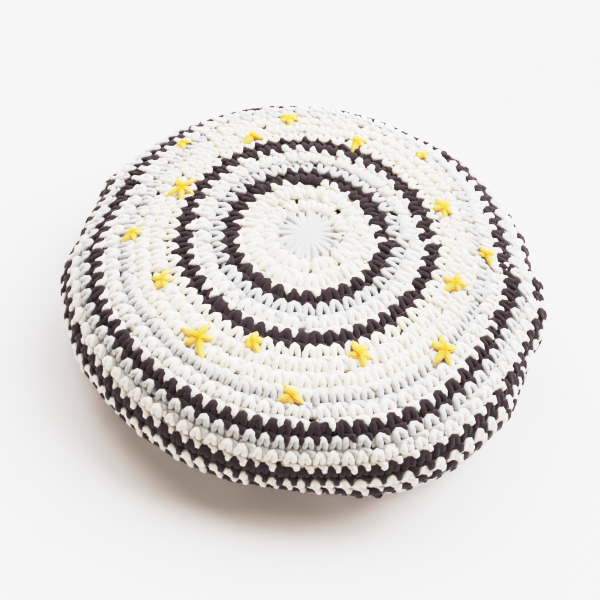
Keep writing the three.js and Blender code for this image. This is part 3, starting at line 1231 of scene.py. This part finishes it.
def develop(view):
    """Sets the plain view transform and the curve of the tones."""
    view.view_transform = "Standard"
    view.use_curve_mapping = True
    mapping = view.curve_mapping
    curve = mapping.curves[COMBINED_CURVE]
    for light, shown in TONES[1:-1]:
        curve.points.new(light, shown)
    curve.points[0].location = TONES[0]
    curve.points[-1].location = TONES[-1]
    mapping.update()


# Operators


class BERET_OT_rosette(Operator):
    """Crochet the fat radial stitches at the middle of the crown"""
    bl_idname = "beret.rosette"
    bl_label = "Rosette"

    def execute(self, context):
        face = HatFace(context.scene.beret_form)
        piece = add_object("rosette_stitches", rosette_mesh(face))
        finish_piece(piece, "rosette")
        return {"FINISHED"}


class BERET_OT_rounds(Operator):
    """Crochet the striped rounds from the rosette to the underside"""
    bl_idname = "beret.rounds"
    bl_label = "Rounds"

    def execute(self, context):
        face = HatFace(context.scene.beret_form)
        courses = crown_courses()
        meshes = {}
        for i, row in enumerate(ROUNDS[1:], start=1):
            meshes.setdefault(row.piece, []).append(round_mesh(face, i, courses[i]))
        for node, parts in meshes.items():
            piece = join_meshes(node + "_stitches", parts)
            finish_piece(piece, node)
        return {"FINISHED"}


class BERET_OT_head_band(Operator):
    """Crochet the band round the head opening"""
    bl_idname = "beret.head_band"
    bl_label = "Head band"

    def execute(self, context):
        face = HatFace(context.scene.beret_form)
        depth = face.band_height / BAND_ROUNDS
        width = 2 * math.pi / BAND_STITCHES
        radius = face.band_radius
        yarn = context.scene.beret_yarn
        meshes = []
        for i in range(BAND_ROUNDS):
            points = np.zeros((BAND_STITCHES, 3))
            points[:, 0] = (even_starts(BAND_STITCHES) + (i / 2) * width) * radius
            points[:, 1] = i * depth
            places = Places(points, np.ones((BAND_STITCHES, 3)), np.zeros((BAND_STITCHES, 3)))
            path = strands_object("band_strands", (CROWN_ARCH, CROWN_LOOP, BED), width * radius, depth)
            strand = Strand("white", yarn.radius, yarn.flatness, yarn.twist)
            mesh = crochet("head_band", places, path, strand, BAND_SEED + i)
            drape(mesh, radius, face.lay_round_band)
            meshes.append(mesh)
        piece = join_meshes("head_band_stitches", meshes)
        finish_piece(piece, "head_band")
        return {"FINISHED"}


class BERET_OT_stars(Operator):
    """Embroider the stars on the cream field"""
    bl_idname = "beret.stars"
    bl_label = "Stars"

    def execute(self, context):
        face = HatFace(context.scene.beret_form)
        yarn = context.scene.beret_yarn
        for i, star in enumerate(STARS):
            node = f"star_{i + 1:02d}"
            arms = np.array(star.arms, dtype=float)
            points = np.zeros((len(arms), 3))
            stretch = np.ones((len(arms), 3))
            stretch[:, 1] = np.hypot(arms[:, 0], arms[:, 1]) * MM
            turn = np.zeros((len(arms), 3))
            turn[:, 2] = np.arctan2(arms[:, 1], arms[:, 0]) - math.pi / 2
            path = strands_object("star_strands", STAR_ARM, 1 * MM, 1.0)
            places = Places(points, stretch, turn)
            strand = Strand("yellow", yarn.star_radius, yarn.star_flatness, STAR_TWIST)
            mesh = crochet(node, places, path, strand, STAR_SEED + i)
            along = star.along * MM
            bearing = math.radians(star.bearing)

            def lay(across, out, lift):
                return face.lay_over(bearing + across, along + out, lift)

            drape(mesh, along, lay)
            piece = add_object(node + "_strands", mesh)
            finish_piece(piece, node)
        return {"FINISHED"}


def add_floor(stage):
    """The pale floor that the hat lies on."""
    half = stage.floor_size / 2
    corners = [(-half, -half, 0), (half, -half, 0), (half, half, 0), (-half, half, 0)]
    mesh = bpy.data.meshes.new("floor")
    mesh.from_pydata(corners, [], [(0, 1, 2, 3)])
    mesh.materials.append(floor_material())
    add_object("floor", mesh)


def add_fill(stage):
    """Even light from all round."""
    world = bpy.data.worlds.new("studio")
    world.use_nodes = True
    sky = world.node_tree.nodes["Background"]
    sky.inputs["Color"].default_value = (*stage.fill_colour, 1.0)
    sky.inputs["Strength"].default_value = stage.fill_strength
    bpy.context.scene.world = world


def add_light(name, strength, colour, spread, heading, height):
    """A far, wide light that shines towards the middle of the hat."""
    light = bpy.data.lights.new(name, "SUN")
    light.energy = strength
    light.color = colour
    light.angle = spread
    level = math.cos(height)
    towards = Vector((-math.sin(heading) * level, -math.cos(heading) * level, -math.sin(height)))
    lamp = add_object(name, light)
    lamp.rotation_euler = towards.to_track_quat("-Z", "Y").to_euler()


def add_camera(stage):
    """A camera that looks down on the hat, tipped to one side."""
    back = Vector((0.0, -math.cos(stage.elevation), math.sin(stage.elevation)))
    level_up = Vector((0.0, math.sin(stage.elevation), math.cos(stage.elevation)))
    level_right = Vector((1.0, 0.0, 0.0))
    right = level_right * math.cos(stage.roll) + level_up * math.sin(stage.roll)
    axes = Matrix((right, back.cross(right), back)).transposed().to_4x4()
    camera_data = bpy.data.cameras.new("camera")
    camera_data.lens = stage.lens
    camera = add_object("camera", camera_data)
    camera.matrix_world = Matrix.Translation(Vector(stage.aim) + back * stage.distance) @ axes
    bpy.context.scene.camera = camera


class BERET_OT_stage(Operator):
    """Set up the pale floor, the soft light and the camera"""
    bl_idname = "beret.stage"
    bl_label = "Stage"

    def execute(self, context):
        stage = context.scene.beret_stage
        add_floor(stage)
        add_fill(stage)
        cool = stage.key_colour
        pale = stage.front_colour
        wide = stage.spread
        high = stage.light_height
        add_light("key", stage.key_strength, cool, wide, stage.key_heading, stage.key_height)
        add_light("back", stage.back_strength, cool, wide, stage.back_heading, high)
        add_light("rim", stage.rim_strength, cool, wide, stage.rim_heading, high)
        add_light("front", stage.front_strength, pale, wide, stage.front_heading, stage.front_height)
        add_camera(stage)
        develop(context.scene.view_settings)
        return {"FINISHED"}


class BERET_PT_panel(Panel):
    """Lists the beret's pieces in the sidebar"""
    bl_idname = "BERET_PT_panel"
    bl_label = "Crocheted Beret"
    bl_space_type = "VIEW_3D"
    bl_region_type = "UI"
    bl_category = "Beret"

    def draw(self, context):
        for operator in OPERATORS:
            self.layout.operator(operator.bl_idname)


GROUPS = {"beret_form": BeretForm, "beret_yarn": BeretYarn, "beret_stage": BeretStage}
OPERATORS = (
    BERET_OT_rosette,
    BERET_OT_rounds,
    BERET_OT_head_band,
    BERET_OT_stars,
    BERET_OT_stage,
)


def register():
    for cls in (*GROUPS.values(), *OPERATORS, BERET_PT_panel):
        bpy.utils.register_class(cls)
    for name, group in GROUPS.items():
        setattr(bpy.types.Scene, name, PointerProperty(type=group))


def unregister():
    for name in GROUPS:
        delattr(bpy.types.Scene, name)
    for cls in reversed((*GROUPS.values(), *OPERATORS, BERET_PT_panel)):
        bpy.utils.unregister_class(cls)


def main():
    register()
    bpy.ops.beret.rosette()
    bpy.ops.beret.rounds()
    bpy.ops.beret.head_band()
    bpy.ops.beret.stars()
    bpy.ops.beret.stage()


if __name__ == "__main__":
    main()
